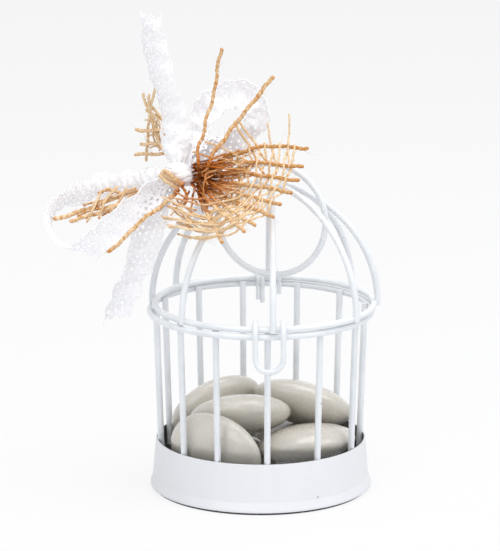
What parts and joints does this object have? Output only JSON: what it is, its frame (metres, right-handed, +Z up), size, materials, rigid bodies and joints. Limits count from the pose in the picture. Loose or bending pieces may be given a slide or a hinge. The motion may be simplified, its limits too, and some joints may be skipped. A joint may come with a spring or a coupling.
{
  "type": "birdcage favour box",
  "caption": "Small round wire birdcage favour box with a sheet base, hinged dome lid, front clasp, loose carry ring, lace and jute bow, and sugared almonds inside.",
  "frame": {"origin": "centre of the base's flat underside", "axes": "+Z up through the cage, -Y towards the front where the clasp hangs, +X to the viewer's right"},
  "size_m": [0.0849, 0.061, 0.1225],
  "materials": {
    "wire_paint": "satin white paint on wire",
    "pan_paint": "satin white paint on sheet",
    "sugar_shell": "polished sugar shell",
    "lace": "cotton lace",
    "jute": "coarse jute yarn"
  },
  "bodies": {
    "cage_body": {"almond_back_left": "sugar_shell", "almond_back_right": "sugar_shell", "almond_front_left": "sugar_shell", "almond_front_right": "sugar_shell", "almond_middle": "sugar_shell", "almond_under_left": "sugar_shell", "almond_under_right": "sugar_shell", "base_floor": "pan_paint", "base_wall": "pan_paint", "body_ring": "wire_paint", "hinge_eye_left": "wire_paint", "hinge_eye_right": "wire_paint", "upright_01": "wire_paint", "upright_02": "wire_paint", "upright_03": "wire_paint", "upright_04": "wire_paint", "upright_05": "wire_paint", "upright_06": "wire_paint", "upright_07": "wire_paint", "upright_08": "wire_paint", "upright_09": "wire_paint", "upright_10": "wire_paint", "upright_11": "wire_paint", "upright_12": "wire_paint"},
    "lid": {"apex_weld": "wire_paint", "dome_rib_1": "wire_paint", "dome_rib_2": "wire_paint", "dome_rib_3": "wire_paint", "dome_rib_4": "wire_paint", "dome_rib_5": "wire_paint", "dome_rib_6": "wire_paint", "dome_rib_7": "wire_paint", "dome_rib_8": "wire_paint", "lid_ring": "wire_paint"},
    "clasp": {"front_clasp": "wire_paint"},
    "carry_ring": {"carry_ring": "wire_paint", "jute_fan_warps": "jute", "jute_fan_wefts": "jute", "jute_flap_left": "jute", "jute_flap_upper": "jute", "jute_fold": "jute", "jute_neck": "jute", "jute_strand_low": "jute", "jute_strand_right": "jute", "jute_strand_tall": "jute", "lace_knot": "lace", "lace_loop_left": "lace", "lace_loop_right": "lace", "lace_tail_down": "lace", "lace_tail_up": "lace", "lace_tie": "lace"}
  },
  "joints": [
    {"name": "lid_hinge", "type": "hinge", "parent": "cage_body", "child": "lid", "pos_m": [0.0009, 0.02746, 0.0476], "axis": [-1, 0, 0], "range_deg": [0, 90]},
    {"name": "clasp_swing", "type": "hinge", "parent": "lid", "child": "clasp", "pos_m": [0.002, -0.02736, 0.0476], "axis": [-1, 0, 0], "range_deg": [0, 80]},
    {"name": "carry_ring_lift", "type": "slide", "parent": "lid", "child": "carry_ring", "axis": [0, 0, 1], "range_m": [0, 0.016]}
  ]
}
